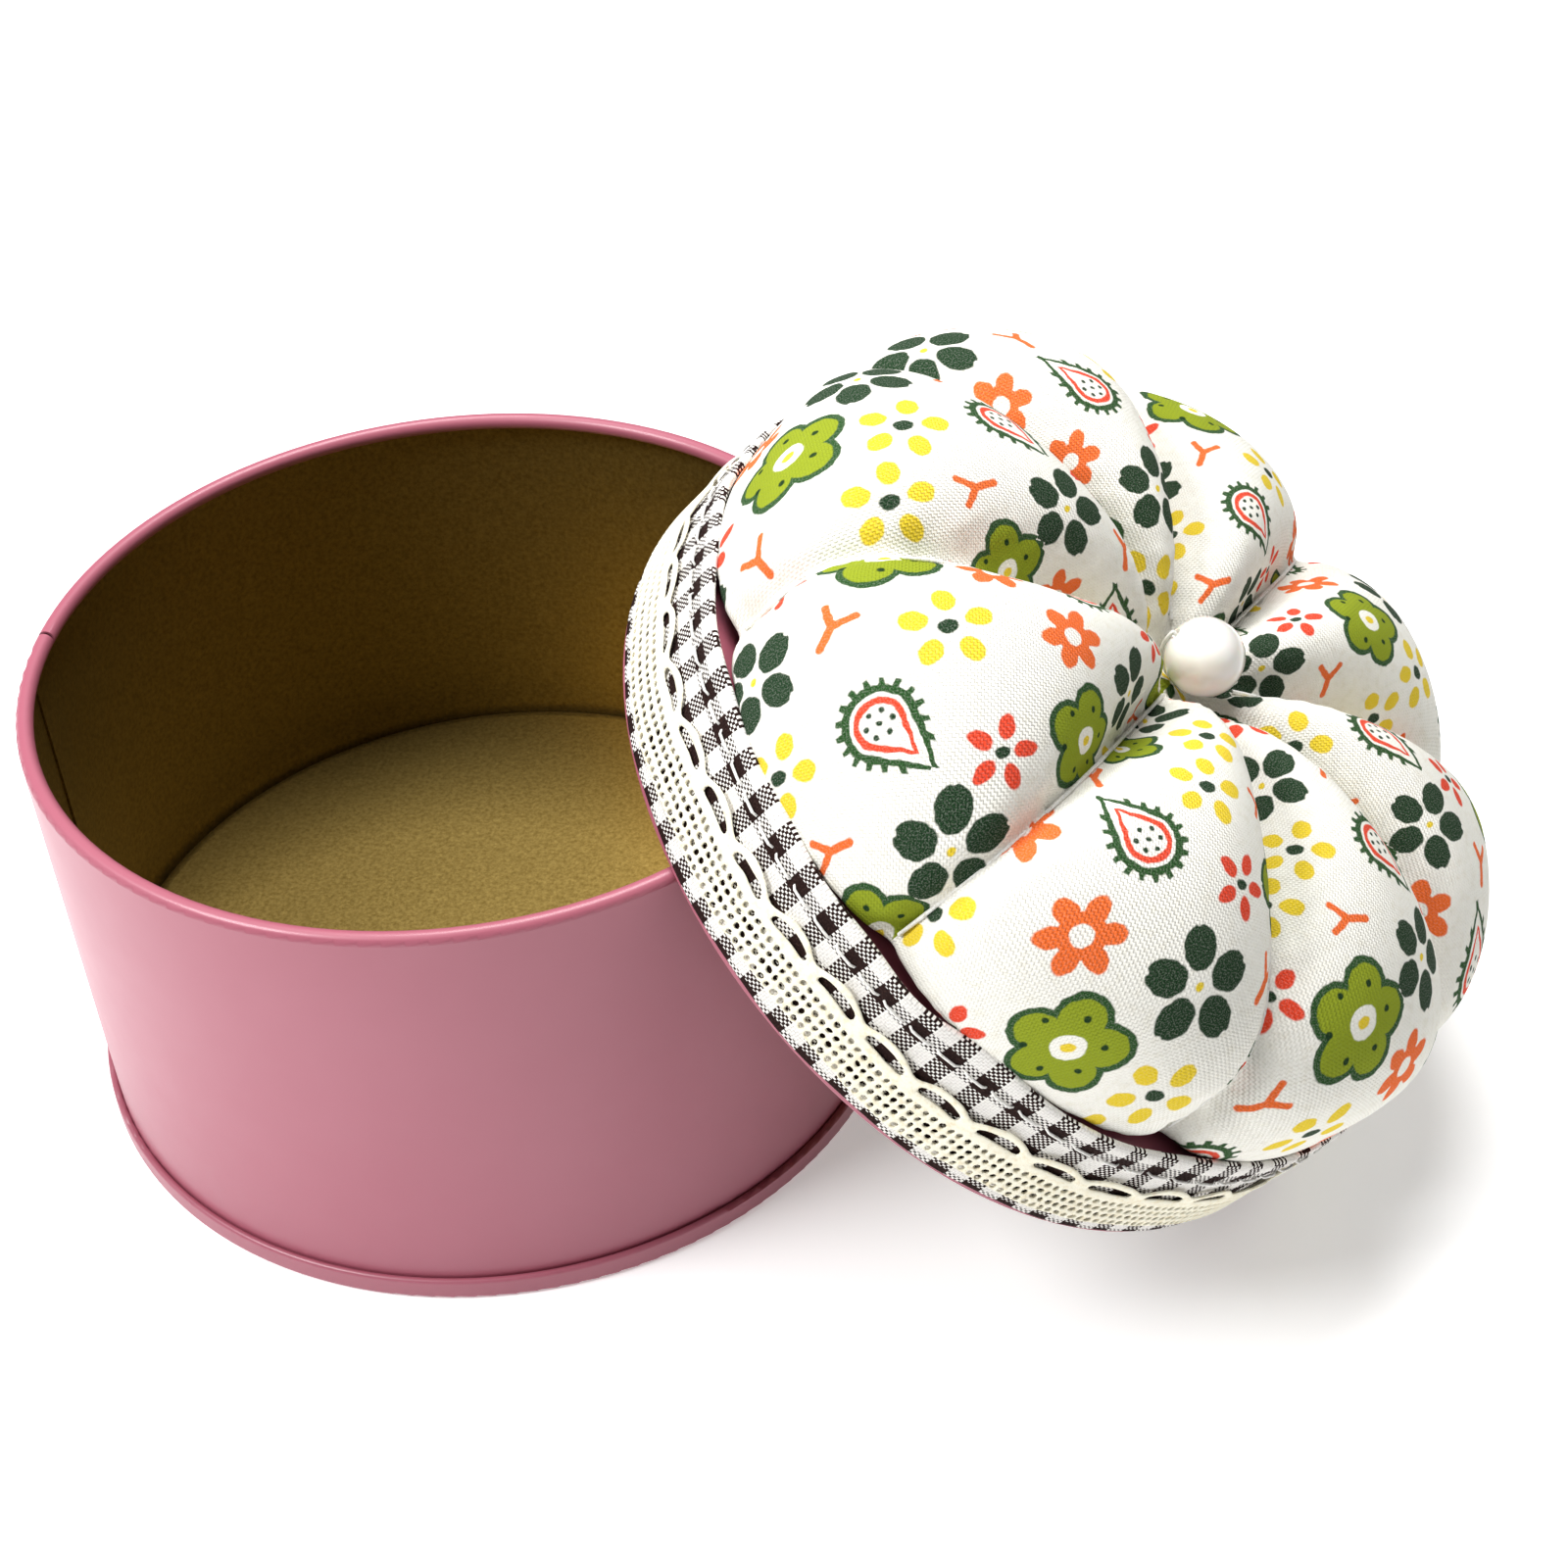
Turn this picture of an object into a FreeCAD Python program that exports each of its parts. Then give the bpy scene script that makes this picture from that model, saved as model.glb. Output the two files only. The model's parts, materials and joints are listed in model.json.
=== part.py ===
import FreeCAD
import Part
import math
import os

# A tin-box pin cushion. A round seamed tin stands on the table. Its press-on lid, trimmed with gingham and
# lace and carrying an eight-lobed stuffed cushion, is off: it leans on the rim with its edge on the table.
# Row frame: origin at the centre of the tin's base, +Z up, +X from the tin towards the leaning lid.
# Lid frame: origin at the centre of the lid's open edge, +Z out through the cushion, +X down the slope.

# ---- tinplate, mm ----
SHEET = 0.25                # thickness of the tinplate
PITCH = SHEET + 0.03        # from one folded layer to the next

# ---- tin ----
TIN_RADIUS = 45.0           # outside of the wall
TIN_HEIGHT = 50.8           # table to the top of the rim
RIM_TUBE = 0.9              # outside radius of the rim's inward curl
RIM_CURL_DEG = 300.0        # how far round the curl is rolled
SEAM_HEIGHT = 2.6           # height of the double seam at the base
FLOOR_HEIGHT = 6.4          # table to the top of the recessed floor
FLOOR_CORNER = 1.9          # radius where the floor turns down beside the wall
FOLD_BOTTOM = 0.8           # where the wall's hook turns up inside the seam
HOOK_GAP = 0.65             # from the hook's end to the seam's top
INNER_LEG_END = 1.1         # where the bottom's own hook ends inside the seam
LAP_GAP = 0.2               # the side seam's lap stops this far above the floor
SIDE_SEAM_DEG = 184.5       # azimuth of the wall's side seam
LAP_WIDTH = 5.0             # width of the lap inside the side seam
CURL_GAP = 0.45             # gap between the curl's two ends at the side seam

# ---- lid shell ----
LID_RADIUS = 45.05          # inside of the skirt: a slip fit over the tin's wall
LID_HEIGHT = 13.4           # open edge to the lid's top
LID_CORNER = 1.5            # centreline radius between skirt and top
HEM_HEIGHT = 1.4            # how far the folded hem reaches up the skirt

# ---- trim round the skirt ----
CLOTH = 0.30                # thickness of the gingham
BAND_BOTTOM = 0.55
BAND_TOP = 15.2
BAND_FOLD = 1.3             # depth of the turned-in top edge
LACE = 0.40                 # thickness of the lace
LACE_BOTTOM = 2.5
LACE_VALLEY = 9.0           # height of the lace between two scallops
SCALLOP_RISE = 1.3
SCALLOPS = 42
STITCH_HEIGHT = 12.6
STITCH_LENGTH = 2.7
STITCH_RADIUS = 0.16
STITCHES = 88

# ---- cushion ----
LOBES = 8
LOBE_RADIUS = 20.5          # each lobe is a ball, cut flat where it is glued to the lid
LOBE_RING = 25.0            # lid axis to each lobe's centre
LOBE_HEIGHT = 21.8          # open edge to each lobe's centre
COVER = 0.45                # thickness of the cotton cover
GLUE = 0.8                  # thickness of the glue between lid and cushion
GLUE_RADIUS = 34.0
CORE_RADIUS = 9.0           # middle of the cushion, pulled down under the bead
CORE_TOP = 30.3
THREAD_RADIUS = 0.2
GATHER_RING = 6.0           # radius of the gathering thread that closes the cover underneath

# ---- pearl bead ----
BEAD_RADIUS = 4.0
BEAD_BORE = 0.5
KNOT_RADIUS = 1.2
KNOT_ROOM = 0.3             # room left round the knot in the glue

# ---- how the lid leans ----
LEAN_DEG = 40.9             # tilt of the lid from level
REST_GAP = 0.08             # clearance left between the lid's hem and the rim

HAIR = 0.025                # hair's breadth left between pieces that lie against each other

UP = FreeCAD.Vector(0, 0, 1)
ALONG_X = FreeCAD.Vector(1, 0, 0)
ALONG_Y = FreeCAD.Vector(0, 1, 0)
CENTRE = FreeCAD.Vector(0, 0, 0)

HEM_RING = LID_RADIUS + (SHEET + PITCH) / 2     # the hem's fold is a ring of this radius
HEM_TUBE = (SHEET + PITCH) / 2                  # and of this tube radius
SKIRT_OUTSIDE = LID_RADIUS + SHEET
HEM_OUTSIDE = SKIRT_OUTSIDE + PITCH
BAND_INSIDE = HEM_OUTSIDE + HAIR
BAND_OUTSIDE = BAND_INSIDE + CLOTH
LACE_INSIDE = BAND_OUTSIDE + HAIR
CUSHION_BOTTOM = LID_HEIGHT + GLUE
BEAD_LOOP = BEAD_RADIUS + THREAD_RADIUS + 2 * HAIR  # radius of the thread's loop round the bead
BEAD_HEIGHT = CORE_TOP + BEAD_LOOP + THREAD_RADIUS + HAIR


def at(r, z):
    """A point of a section, at radius r and height z."""
    return FreeCAD.Vector(r, 0, z)


def line(a, b):
    return Part.makeLine(at(*a), at(*b))


def bend(centre, radius, start_deg, end_deg):
    """An arc of a section round centre, from one angle to another."""
    points = []
    for angle in (start_deg, (start_deg + end_deg) / 2, end_deg):
        turn = math.radians(angle)
        points.append(at(centre[0] + radius * math.cos(turn), centre[1] + radius * math.sin(turn)))
    return Part.Arc(*points).toShape()


def spun_sheet(edges, thickness):
    """A sheet of that thickness whose middle follows the edges, spun about Z."""
    one_side = Part.Wire(edges).makeOffset2D(-thickness / 2, 0, False, True, False)
    section = one_side.makeOffset2D(thickness, 0, True, True, False)
    return section.revolve(CENTRE, UP, 360)


def ring(inside, outside, bottom, top):
    outer = Part.makeCylinder(outside, top - bottom, at(0, bottom))
    return outer.cut(Part.makeCylinder(inside, top - bottom, at(0, bottom)))


def turned(shape, angle_deg):
    """A copy of shape turned about Z."""
    copy = shape.copy()
    copy.rotate(CENTRE, UP, angle_deg)
    return copy


# ---------------------------------------------------------------- tin
def tin_wall():
    """Rolled wall: curl at the rim, side seam with its lap inside, and a hook folded into the base seam."""
    middle = TIN_RADIUS - SHEET / 2
    curl = RIM_TUBE - SHEET / 2
    curl_height = TIN_HEIGHT - RIM_TUBE
    edges = [
        line((middle + 2 * PITCH, SEAM_HEIGHT - HOOK_GAP), (middle + 2 * PITCH, FOLD_BOTTOM)),
        bend((middle + PITCH, FOLD_BOTTOM), PITCH, 0, -180),
        line((middle, FOLD_BOTTOM), (middle, curl_height)),
        bend((middle - curl, curl_height), curl, 0, RIM_CURL_DEG),
    ]
    wall = spun_sheet(edges, SHEET)
    inside = TIN_RADIUS - SHEET
    lap_bottom = FLOOR_HEIGHT + LAP_GAP
    lap_top = TIN_HEIGHT - 2 * RIM_TUBE
    lap_angle = math.degrees(LAP_WIDTH / inside)
    lap = ring(inside - SHEET, inside + SHEET / 2, lap_bottom, lap_top)
    wedge = Part.makeCylinder(TIN_RADIUS, TIN_HEIGHT, CENTRE, UP, lap_angle)
    wall = wall.fuse(turned(lap.common(wedge), SIDE_SEAM_DEG))
    notch = Part.makeBox(3 * RIM_TUBE, CURL_GAP, 2 * RIM_TUBE)
    notch.translate(FreeCAD.Vector(TIN_RADIUS - 2.5 * RIM_TUBE, -CURL_GAP / 2, TIN_HEIGHT - 1.8 * RIM_TUBE))
    return wall.cut(turned(notch, SIDE_SEAM_DEG))


def tin_bottom():
    """Recessed end panel: floor, wall beside the tin's wall, and the outer fold of the double seam."""
    wall = TIN_RADIUS - SHEET / 2
    inner_leg = wall - PITCH
    outer_leg = wall + 3 * PITCH
    roll_height = PITCH + SHEET / 2
    floor = FLOOR_HEIGHT - SHEET / 2
    corner = FLOOR_CORNER - SHEET / 2
    fold_height = SEAM_HEIGHT - SHEET / 2 - PITCH
    edges = [
        line((0, floor), (inner_leg - corner, floor)),
        bend((inner_leg - corner, floor - corner), corner, 90, 0),
        line((inner_leg, floor - corner), (inner_leg, roll_height)),
        bend((inner_leg + PITCH, roll_height), PITCH, 180, 270),
        line((inner_leg + PITCH, SHEET / 2), (outer_leg - PITCH, SHEET / 2)),
        bend((outer_leg - PITCH, roll_height), PITCH, 270, 360),
        line((outer_leg, roll_height), (outer_leg, fold_height)),
        bend((outer_leg - PITCH, fold_height), PITCH, 0, 180),
        line((outer_leg - 2 * PITCH, fold_height), (outer_leg - 2 * PITCH, INNER_LEG_END)),
    ]
    return spun_sheet(edges, SHEET)


# ---------------------------------------------------------------- lid shell and its trim, in the lid frame
def lid_shell():
    """Pressed lid: flat top, rounded corner, straight skirt and a flat hem folded outwards at the edge."""
    skirt = LID_RADIUS + SHEET / 2
    top = LID_HEIGHT - SHEET / 2
    edges = [
        line((0, top), (skirt - LID_CORNER, top)),
        bend((skirt - LID_CORNER, top - LID_CORNER), LID_CORNER, 90, 0),
        line((skirt, top - LID_CORNER), (skirt, HEM_TUBE)),
        bend((HEM_RING, HEM_TUBE), PITCH / 2, 180, 360),
        line((skirt + PITCH, HEM_TUBE), (skirt + PITCH, HEM_HEIGHT)),
    ]
    return spun_sheet(edges, SHEET)


def band_glue():
    """Glue that holds the gingham to the skirt."""
    return ring(SKIRT_OUTSIDE, BAND_INSIDE, HEM_HEIGHT + 2 * HAIR, LID_HEIGHT - LID_CORNER - SHEET)


def gingham_band():
    """Strip of gingham round the skirt, its top edge turned in."""
    middle = BAND_INSIDE + CLOTH / 2
    fold = CLOTH / 2 + HAIR
    fold_height = BAND_TOP - fold - CLOTH / 2
    edges = [
        line((middle, BAND_BOTTOM), (middle, fold_height)),
        bend((middle - fold, fold_height), fold, 0, 180),
        line((middle - 2 * fold, fold_height), (middle - 2 * fold, BAND_TOP - BAND_FOLD)),
    ]
    return spun_sheet(edges, CLOTH)


def lace_trim():
    """Cotton lace over the gingham: a straight lower edge and a row of scallops along the upper one."""
    outside = LACE_INSIDE + LACE
    lace = ring(LACE_INSIDE, outside, LACE_BOTTOM, LACE_VALLEY)
    step = 360.0 / SCALLOPS
    half_width = math.pi * outside / SCALLOPS
    radius = (half_width ** 2 + SCALLOP_RISE ** 2) / (2 * SCALLOP_RISE)
    tall = ring(LACE_INSIDE, outside, LACE_BOTTOM, LACE_VALLEY + SCALLOP_RISE)
    disc = Part.makeCylinder(radius, outside + 1, at(0, LACE_VALLEY + SCALLOP_RISE - radius), ALONG_X)
    wedge = Part.makeCylinder(outside + 1, BAND_TOP, CENTRE, UP, step)
    scallop = tall.common(disc).common(turned(wedge, -step / 2))
    return lace.fuse([turned(scallop, step * i) for i in range(SCALLOPS)]).removeSplitter()


def band_stitches():
    """Running stitches along the top of the band."""
    reach = BAND_OUTSIDE + STITCH_RADIUS + HAIR
    start = FreeCAD.Vector(reach, -STITCH_LENGTH / 2, STITCH_HEIGHT)
    stitch = Part.makeCylinder(STITCH_RADIUS, STITCH_LENGTH, start, ALONG_Y)
    return Part.makeCompound([turned(stitch, 360.0 / STITCHES * i) for i in range(STITCHES)])


# ---------------------------------------------------------------- cushion, in the lid frame
def cushion_body(inset):
    """The stuffed form: eight balls round a low middle, flat underneath, all its faces moved in by inset."""
    bottom = CUSHION_BOTTOM + inset
    body = Part.makeCylinder(LOBE_RING, CORE_TOP - inset - bottom, at(0, bottom))
    body = body.common(Part.makeCylinder(CORE_RADIUS - inset, LOBE_HEIGHT * 2, at(0, 0)))
    ball = Part.makeSphere(LOBE_RADIUS - inset, at(LOBE_RING, LOBE_HEIGHT))
    below = Part.makeCylinder(LID_RADIUS * 2, bottom, CENTRE)
    ball = ball.cut(below)
    return body.fuse([turned(ball, 360.0 / LOBES * i) for i in range(LOBES)])


def thread_hole(radius):
    """The way of the bead's thread through the middle of the cushion."""
    return Part.makeCylinder(radius, LOBE_HEIGHT * 2, at(0, 0))


def cushion_cover():
    """Printed cotton cover, a closed skin round the filling."""
    skin = cushion_body(0).cut(cushion_body(COVER))
    return skin.cut(thread_hole(BEAD_BORE))


def cushion_filling():
    """Polyester fibre that fills the cover."""
    return cushion_body(COVER + HAIR).cut(thread_hole(BEAD_BORE))


def cushion_glue():
    """Disc of hot-melt glue that holds the cushion on the lid."""
    disc = Part.makeCylinder(GLUE_RADIUS, GLUE, at(0, LID_HEIGHT))
    groove = Part.makeTorus(GATHER_RING, THREAD_RADIUS + HAIR, at(0, CUSHION_BOTTOM - THREAD_RADIUS))
    knot_room = Part.makeCylinder(KNOT_RADIUS + KNOT_ROOM, GLUE, at(0, LID_HEIGHT))
    return disc.cut(groove).cut(knot_room)


def gathering_thread():
    """Thread that gathers the cover shut underneath."""
    return Part.makeTorus(GATHER_RING, THREAD_RADIUS, at(0, CUSHION_BOTTOM - THREAD_RADIUS - HAIR / 2))


def lobe_threads():
    """Tight threads from the middle over the top and down the side: one lies in each groove between lobes."""
    half_gap = math.radians(180.0 / LOBES)
    groove_centre = LOBE_RING * math.cos(half_gap)
    half_distance = LOBE_RING * math.sin(half_gap)
    groove_radius = math.sqrt(LOBE_RADIUS ** 2 - half_distance ** 2)
    seat = THREAD_RADIUS * LOBE_RADIUS / groove_radius + HAIR
    hoop = Part.makeTorus(groove_radius + seat, THREAD_RADIUS, at(groove_centre, LOBE_HEIGHT), ALONG_Y)
    below = Part.makeCylinder(LID_RADIUS * 2, CUSHION_BOTTOM, CENTRE)
    middle = Part.makeCylinder(CORE_RADIUS + KNOT_ROOM, LOBE_HEIGHT * 3, CENTRE)
    thread = hoop.cut(below).cut(middle)
    first = 180.0 / LOBES
    return Part.makeCompound([turned(thread, first + 360.0 / LOBES * i) for i in range(LOBES)])


def pearl_bead():
    """Ball, bored from side to side, that covers the meeting point of the threads."""
    bore = Part.makeCylinder(BEAD_BORE, BEAD_RADIUS * 4, at(-BEAD_RADIUS * 2, BEAD_HEIGHT), ALONG_X)
    return Part.makeSphere(BEAD_RADIUS, at(0, BEAD_HEIGHT)).cut(bore)


def bead_thread():
    """Thread from a knot under the cushion up its middle, round under the bead and through the bore."""
    through = Part.makeCylinder(THREAD_RADIUS, 2 * BEAD_LOOP, at(-BEAD_LOOP, BEAD_HEIGHT), ALONG_X)
    loop = Part.makeTorus(BEAD_LOOP, THREAD_RADIUS, at(0, BEAD_HEIGHT), ALONG_Y)
    above = Part.makeCylinder(BEAD_LOOP * 2, BEAD_LOOP * 2, at(0, BEAD_HEIGHT))
    corners = [Part.makeSphere(THREAD_RADIUS, at(side, BEAD_HEIGHT)) for side in (-BEAD_LOOP, BEAD_LOOP)]
    foot = LID_HEIGHT + 2 * HAIR
    stem = Part.makeCylinder(2 * THREAD_RADIUS, BEAD_HEIGHT - BEAD_LOOP - foot, at(0, foot))
    knot = Part.makeCylinder(KNOT_RADIUS, GLUE - 4 * HAIR, at(0, foot))
    return loop.cut(above).fuse([through, stem, knot] + corners)


# ---------------------------------------------------------------- the lid's place against the tin
def hem_to_rim(reach):
    """Clearance between hem and rim with the hem's fold ring centred that far from the tin's axis."""
    lean = math.radians(LEAN_DEG)
    rim_ring = TIN_RADIUS - RIM_TUBE
    rim_height = TIN_HEIGHT - RIM_TUBE
    ring_height = HEM_RING * math.sin(lean) + HEM_TUBE
    nearest = TIN_RADIUS
    for step in range(361):
        turn = math.radians(step / 2.0)
        x = reach + HEM_RING * math.cos(turn) * math.cos(lean)
        y = HEM_RING * math.sin(turn)
        z = ring_height - HEM_RING * math.cos(turn) * math.sin(lean)
        nearest = min(nearest, math.hypot(math.hypot(x, y) - rim_ring, z - rim_height))
    return nearest - RIM_TUBE - HEM_TUBE


def leaning_place():
    """Where the lid comes to rest: slid inwards, one edge on the table, until its hem meets the rim."""
    lean = math.radians(LEAN_DEG)
    reach = TIN_RADIUS + HEM_RING * math.cos(lean)
    while hem_to_rim(reach) > REST_GAP:
        reach -= 0.01
    fold_ring = FreeCAD.Vector(reach, 0, HEM_RING * math.sin(lean) + HEM_TUBE)
    out = FreeCAD.Vector(math.sin(lean), 0, math.cos(lean))
    print("lid leans at reach %.2f mm, open edge centred at %s" % (reach, fold_ring - out * HEM_TUBE))
    return FreeCAD.Placement(fold_ring - out * HEM_TUBE, FreeCAD.Rotation(FreeCAD.Vector(0, 1, 0), LEAN_DEG))


def save(node, shape, place=None):
    if place is not None:
        shape.transformShape(place.toMatrix())
    shape.exportStep("parts/%s.step" % node)
    print("%-18s valid %s  %d solid(s)  %.1f mm3" % (node, shape.isValid(), len(shape.Solids), shape.Volume))


os.makedirs("parts", exist_ok=True)

for maker in (tin_wall, tin_bottom):
    save(maker.__name__, maker())

leaning = leaning_place()
for maker in (lid_shell, band_glue, gingham_band, lace_trim, band_stitches, cushion_glue, cushion_cover,
              cushion_filling, gathering_thread, lobe_threads, pearl_bead, bead_thread):
    save(maker.__name__, maker(), leaning)
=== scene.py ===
import json
import math

import bmesh
import bpy
from mathutils import Matrix, Vector, noise
from mathutils.bvhtree import BVHTree


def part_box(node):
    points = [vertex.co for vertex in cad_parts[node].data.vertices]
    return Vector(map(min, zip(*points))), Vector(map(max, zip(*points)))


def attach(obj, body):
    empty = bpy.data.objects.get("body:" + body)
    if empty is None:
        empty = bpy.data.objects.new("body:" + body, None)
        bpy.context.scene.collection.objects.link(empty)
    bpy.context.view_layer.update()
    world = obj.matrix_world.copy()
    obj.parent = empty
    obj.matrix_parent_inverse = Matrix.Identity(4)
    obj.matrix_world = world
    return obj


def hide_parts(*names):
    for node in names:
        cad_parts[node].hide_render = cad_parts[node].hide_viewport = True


# A tin-box pin cushion: a pink tin with a gold-lacquered inside, and its lid leaning on the rim. The lid
# wears a gingham band, cotton lace and a stuffed cushion of eight lobes in printed cotton, with a pearl bead
# on top. Tin pieces are made in the row frame. Lid pieces are made upright, with the lid's open edge at z = 0
# and its axis along +Z, and are then laid in the lid's leaning place.

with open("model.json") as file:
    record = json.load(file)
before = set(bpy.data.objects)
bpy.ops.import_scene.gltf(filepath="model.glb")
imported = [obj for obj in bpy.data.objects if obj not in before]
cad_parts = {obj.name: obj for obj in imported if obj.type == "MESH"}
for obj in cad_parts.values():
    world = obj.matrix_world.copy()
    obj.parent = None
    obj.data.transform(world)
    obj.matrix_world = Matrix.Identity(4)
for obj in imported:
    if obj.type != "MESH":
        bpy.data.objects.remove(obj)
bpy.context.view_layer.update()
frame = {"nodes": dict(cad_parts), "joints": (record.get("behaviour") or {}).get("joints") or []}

MM = 0.001
FULL_TURN = 2 * math.pi
Z_AXIS = Vector((0, 0, 1))

# ---- tin ----
SHEET = 0.25 * MM
TIN_RADIUS = 45.0 * MM
TIN_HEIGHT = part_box("tin_wall")[1].z
RIM_TUBE = 0.9 * MM
FLOOR_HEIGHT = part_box("tin_bottom")[1].z

# ---- lid and its trim ----
LID_HEIGHT = 13.4 * MM
SKIRT_INSIDE = 45.05 * MM
BAND_INSIDE = 45.6 * MM
CLOTH = 0.3 * MM
BAND_BOTTOM = 0.55 * MM
BAND_TOP = 15.2 * MM
BAND_FOLD = 2.0 * MM            # depth of the turned-in top edge
CHECKS = 138                    # gingham squares round the band
CHECK = FULL_TURN * BAND_INSIDE / CHECKS
LACE_INSIDE = 45.97 * MM
LACE = 0.34 * MM
LACE_BOTTOM = 2.5 * MM
LACE_VALLEY = 8.9 * MM
SCALLOP_RISE = 1.5 * MM
SCALLOPS = 42
BAND_LOOSE_FROM = LID_HEIGHT - 2.5 * MM     # above this the band stands free of the skirt
BAND_STAND = 0.7 * MM           # how far its loose part may stand off
FOLD_GAP = 0.35 * MM            # room inside the turned-in edge
LACE_COLUMNS = 7                # cells of one scallop's width of lace
LACE_ROWS = 7
NET_ROWS = 4                    # rows of holes below the close band
NET_TOP = 0.72                  # the net's share of the lace's height
NET_CORD = 0.030                # width of the net's cords, as a share of a scallop
LACE_WANDER = 0.26 * MM
STITCHES = 88
STITCH_HEIGHT = 12.6 * MM
STITCH_LENGTH = 2.7 * MM
STITCH_RADIUS = 0.15 * MM
STITCH_STAND = 0.28 * MM        # a stitch's middle stands this far off the band
STITCH_DIVE = 0.4 * MM          # and its ends go back in by this
STITCH_WANDER = 0.18 * MM
BAND_RIPPLE = 0.22 * MM         # how far the band's top edge rises and falls
HEM_RIPPLE = 0.12 * MM          # and its bottom edge

# ---- cushion ----
LOBES = 8
LOBE_RING = 23.9 * MM           # lid axis to each lobe's centre
LOBE_HEIGHT = 23.0 * MM         # open edge to each lobe's centre
LOBE_REACH = (22.6 * MM, 11.9 * MM, 18.2 * MM)      # half sizes: outwards, round the lid, upwards
LOBE_FLARE = (1.12, 0.62)       # how a lobe widens outwards: its straight and its squared share
LOBE_SAG = 2.1                  # how much longer a lobe's lower half is than its upper half
LOBE_ROUND = 20.5 * MM          # radius at which the print is laid over a lobe
CORE_RADIUS = 9.0 * MM
CORE_TOP = 30.3 * MM
CUSHION_BOTTOM = 14.2 * MM
CREASE_DEPTH = 1.2 * MM
CREASE_WIDTH = 1.3 * MM
POLE_TILT = math.radians(32)    # the print's centre on a lobe leans outwards by this
SIMULATED_SCALE = 5             # the cloth is solved at five times its size, where its settings behave well
VOXEL = 1.15 * MM
SWELL_CAP = 1.8 * MM
STUFFING_FRAMES = 20            # steps of the cloth simulation
PLEAT = 0.22 * MM               # gathers round the middle
PUCKER = 0.14 * MM              # small puckers beside a groove
SLACK = 0.25 * MM               # the cover's uneven fullness
THREAD_HEART = 16 * MM          # the groove threads bend round a point this far from the lid's axis
THREAD_FROM = -34               # from here, in degrees from the lid's axis, by way of outwards
THREAD_SWEEP = 128
THREAD_RADIUS = 0.2 * MM
BEAD_RADIUS = 4.0 * MM
BEAD_BORE = 0.5 * MM
BEAD_HEIGHT = 34.77 * MM


def lid_place():
    """The leaning lid's place, from the joint's axis and the shell's lowest ring."""
    axis = frame["joints"][0]["axis"]
    lean = Matrix.Rotation(math.atan2(axis[0], axis[2]), 4, "Y")
    stand_up = lean.inverted()
    shell = [stand_up @ v.co for v in frame["nodes"]["lid_shell"].data.vertices]
    across = [p.x for p in shell]
    middle = (min(across) + max(across)) / 2
    return lean @ Matrix.Translation((middle, 0, min(p.z for p in shell)))


LID = lid_place()


# ---------------------------------------------------------------- camera, light and floor
CAMERA_PLACE = Vector((82.385, -208.081, 216.145)) * MM
CAMERA_AHEAD = Vector((-0.16950, 0.74333, -0.64709))
CAMERA_ROLL = math.radians(-3.71)
CAMERA_LENS = 60.387
CAMERA_SENSOR = 36.0
LIT_MIDDLE = (0.03, 0, 0.02)    # what both lights point at
ROOM_LIGHT = 0.15
FLOOR_REACH = 3.0
FLOOR_DROP = 0.02 * MM          # keeps the floor just clear of the tin's seam


def camera():
    """Looks down on the tin and lid from in front, rolled a little."""
    data = bpy.data.cameras.new("camera")
    data.lens = CAMERA_LENS
    data.sensor_width = CAMERA_SENSOR
    data.clip_start = 10 * MM
    camera_object = bpy.data.objects.new("camera", data)
    bpy.context.scene.collection.objects.link(camera_object)
    turn = CAMERA_AHEAD.to_track_quat("-Z", "Y").to_matrix().to_4x4()
    rolled = turn @ Matrix.Rotation(CAMERA_ROLL, 4, "Z")
    camera_object.matrix_world = Matrix.Translation(CAMERA_PLACE) @ rolled
    bpy.context.scene.camera = camera_object


def soft_light(name, place, target, size, power):
    data = bpy.data.lights.new(name, "AREA")
    data.shape = "DISK"
    data.size = size
    data.energy = power
    light = bpy.data.objects.new(name, data)
    bpy.context.scene.collection.objects.link(light)
    direction = Vector(target) - Vector(place)
    turn = direction.to_track_quat("-Z", "Y").to_matrix().to_4x4()
    light.matrix_world = Matrix.Translation(place) @ turn


def studio():
    """White sheet on the table, a large soft light high on the left, another above, and faint white walls."""
    soft_light("key_light", (-0.34, -0.22, 0.54), LIT_MIDDLE, 0.28, 4.2)
    soft_light("top_light", (0.02, 0.16, 0.62), LIT_MIDDLE, 0.34, 4.0)
    world = bpy.data.worlds.new("white_room")
    world.use_nodes = True
    world.node_tree.nodes["Background"].inputs["Color"].default_value = (1, 1, 1, 1)
    world.node_tree.nodes["Background"].inputs["Strength"].default_value = ROOM_LIGHT
    bpy.context.scene.world = world
    bpy.context.scene.view_settings.view_transform = "Standard"
    mesh = bmesh.new()
    bmesh.ops.create_circle(mesh, cap_ends=True, segments=96, radius=FLOOR_REACH)
    floor = new_object("floor", mesh)
    floor.location.z = -FLOOR_DROP
    dress(floor, white_sheet())


# ---------------------------------------------------------------- building pieces
def new_object(name, mesh, place=None):
    """An object from a bmesh, its place already in its mesh."""
    if place is not None:
        mesh.transform(place)
    data = bpy.data.meshes.new(name)
    mesh.to_mesh(data)
    mesh.free()
    data.shade_smooth()
    piece = bpy.data.objects.new(name, data)
    bpy.context.scene.collection.objects.link(piece)
    return piece


def apply_modifiers(piece):
    """The piece's mesh as its modifiers leave it, with none left on it."""
    evaluated = piece.evaluated_get(bpy.context.evaluated_depsgraph_get())
    mesh = bpy.data.meshes.new_from_object(evaluated)
    piece.modifiers.clear()
    piece.data = mesh
    return piece


def rounded(piece, levels):
    finish = piece.modifiers.new("rounded", "SUBSURF")
    finish.levels = levels
    finish.render_levels = levels


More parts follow.
